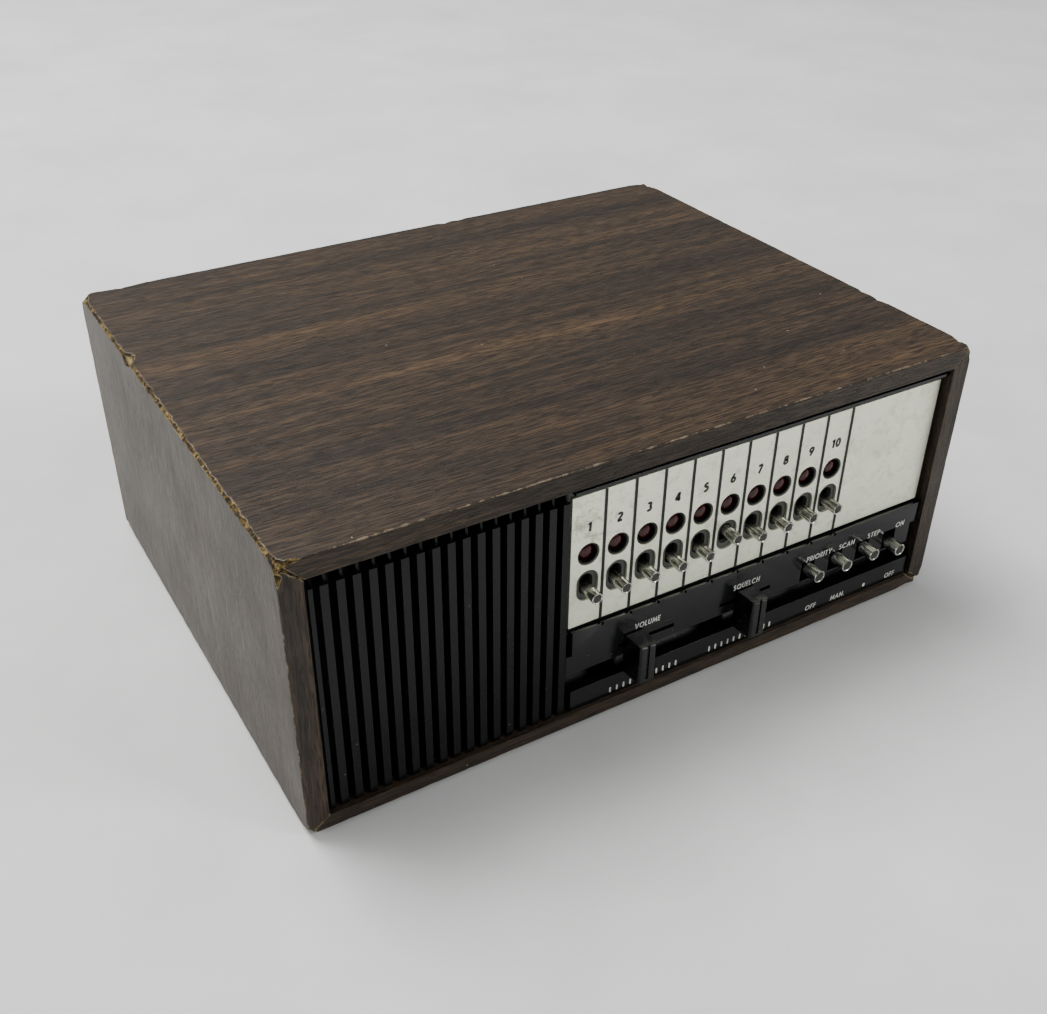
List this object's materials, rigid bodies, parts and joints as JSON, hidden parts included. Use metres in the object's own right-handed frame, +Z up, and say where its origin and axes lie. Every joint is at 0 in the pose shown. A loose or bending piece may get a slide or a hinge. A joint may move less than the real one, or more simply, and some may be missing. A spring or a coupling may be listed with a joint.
{
  "type": "police scanner",
  "caption": "Desk-top scanning receiver in a walnut-grained box, with a slatted speaker grille, a row of lamps and levers, and sliding controls.",
  "frame": {"origin": "middle of the whole object's outline, on the surface that it stands on", "axes": "+X to the right seen from the front, +Y to the back, +Z up"},
  "size_m": [0.267, 0.219, 0.107],
  "materials": {
    "walnut_vinyl": "satin walnut-grain vinyl over particle board",
    "rubber": "matte",
    "panel_plastic": "satin moulded",
    "black_plastic": "satin moulded",
    "cloth": "woven",
    "cone_paper": "pressed paper",
    "zinc_steel": "zinc plated",
    "chassis_steel": "satin",
    "magnet": "satin",
    "plate": "satin",
    "lamp_red": "clear-cast",
    "circuit_board": "solder mask",
    "can_metal": "satin",
    "capacitor_sleeve": "shrink sleeve",
    "core": "laminated, varnished",
    "winding": "enamelled wire under tape",
    "nickel": "nickel plated"
  },
  "bodies": {
    "root": {"cabinet_top": "walnut_vinyl", "cabinet_bottom": "walnut_vinyl", "cabinet_left": "walnut_vinyl", "cabinet_right": "walnut_vinyl", "feet": "rubber", "speaker_grille": "panel_plastic", "grille_cloth": "cloth", "speaker_basket": "zinc_steel", "speaker_cone": "cone_paper", "speaker_magnet": "magnet", "speaker_screws": "zinc_steel", "control_panel": "panel_plastic", "channel_plate": "plate", "channel_dividers": "black_plastic", "lamp_holders": "black_plastic", "channel_lamps": "lamp_red", "volume_control": "zinc_steel", "squelch_control": "zinc_steel", "channel_switches": "black_plastic", "function_switches": "black_plastic", "display_board": "circuit_board", "display_screws": "zinc_steel", "chassis": "chassis_steel", "chassis_screws": "zinc_steel", "standoffs": "zinc_steel", "receiver_board": "circuit_board", "board_screws": "zinc_steel", "crystal_sockets": "black_plastic", "crystals": "can_metal", "coil_cans": "can_metal", "logic_chips": "black_plastic", "capacitors": "capacitor_sleeve", "transformer_core": "core", "transformer_coil": "winding", "transformer_strap": "zinc_steel", "strap_screws": "zinc_steel", "aerial_socket": "nickel", "speaker_socket": "nickel", "supply_socket": "black_plastic", "fuse_holder": "black_plastic", "mains_grommet": "rubber"},
    "channel_1": {"channel_lever_1": "nickel"},
    "channel_2": {"channel_lever_2": "nickel"},
    "channel_3": {"channel_lever_3": "nickel"},
    "channel_4": {"channel_lever_4": "nickel"},
    "channel_5": {"channel_lever_5": "nickel"},
    "channel_6": {"channel_lever_6": "nickel"},
    "channel_7": {"channel_lever_7": "nickel"},
    "channel_8": {"channel_lever_8": "nickel"},
    "channel_9": {"channel_lever_9": "nickel"},
    "channel_10": {"channel_lever_10": "nickel"},
    "priority": {"priority_lever": "nickel"},
    "scan": {"scan_lever": "nickel"},
    "step": {"step_lever": "nickel"},
    "power": {"power_lever": "nickel"},
    "volume": {"volume_knob": "black_plastic", "volume_slider": "zinc_steel"},
    "squelch": {"squelch_knob": "black_plastic", "squelch_slider": "zinc_steel"}
  },
  "joints": [
    {"name": "channel_1_slide", "type": "slide", "parent": "root", "child": "channel_1", "axis": [0, 0, 1], "range_m": [0, 0.003]},
    {"name": "channel_2_slide", "type": "slide", "parent": "root", "child": "channel_2", "axis": [0, 0, 1], "range_m": [0, 0.003]},
    {"name": "channel_3_slide", "type": "slide", "parent": "root", "child": "channel_3", "axis": [0, 0, 1], "range_m": [0, 0.003]},
    {"name": "channel_4_slide", "type": "slide", "parent": "root", "child": "channel_4", "axis": [0, 0, 1], "range_m": [0, 0.003]},
    {"name": "channel_5_slide", "type": "slide", "parent": "root", "child": "channel_5", "axis": [0, 0, 1], "range_m": [0, 0.003]},
    {"name": "channel_6_slide", "type": "slide", "parent": "root", "child": "channel_6", "axis": [0, 0, 1], "range_m": [-0.003, 0]},
    {"name": "channel_7_slide", "type": "slide", "parent": "root", "child": "channel_7", "axis": [0, 0, 1], "range_m": [0, 0.003]},
    {"name": "channel_8_slide", "type": "slide", "parent": "root", "child": "channel_8", "axis": [0, 0, 1], "range_m": [0, 0.003]},
    {"name": "channel_9_slide", "type": "slide", "parent": "root", "child": "channel_9", "axis": [0, 0, 1], "range_m": [0, 0.003]},
    {"name": "channel_10_slide", "type": "slide", "parent": "root", "child": "channel_10", "axis": [0, 0, 1], "range_m": [0, 0.003]},
    {"name": "priority_slide", "type": "slide", "parent": "root", "child": "priority", "axis": [0, 0, 1], "range_m": [-0.0026, 0]},
    {"name": "scan_slide", "type": "slide", "parent": "root", "child": "scan", "axis": [0, 0, 1], "range_m": [-0.0026, 0]},
    {"name": "step_slide", "type": "slide", "parent": "root", "child": "step", "axis": [0, 0, 1], "range_m": [-0.0026, 0], "stiffness_N_per_m": 150, "springref_m": 0.0015},
    {"name": "power_slide", "type": "slide", "parent": "root", "child": "power", "axis": [0, 0, 1], "range_m": [0, 0.0026]},
    {"name": "volume_slide", "type": "slide", "parent": "root", "child": "volume", "axis": [1, 0, 0], "range_m": [-0.0044, 0.0156]},
    {"name": "squelch_slide", "type": "slide", "parent": "root", "child": "squelch", "axis": [1, 0, 0], "range_m": [-0.0096, 0.0104]}
  ]
}
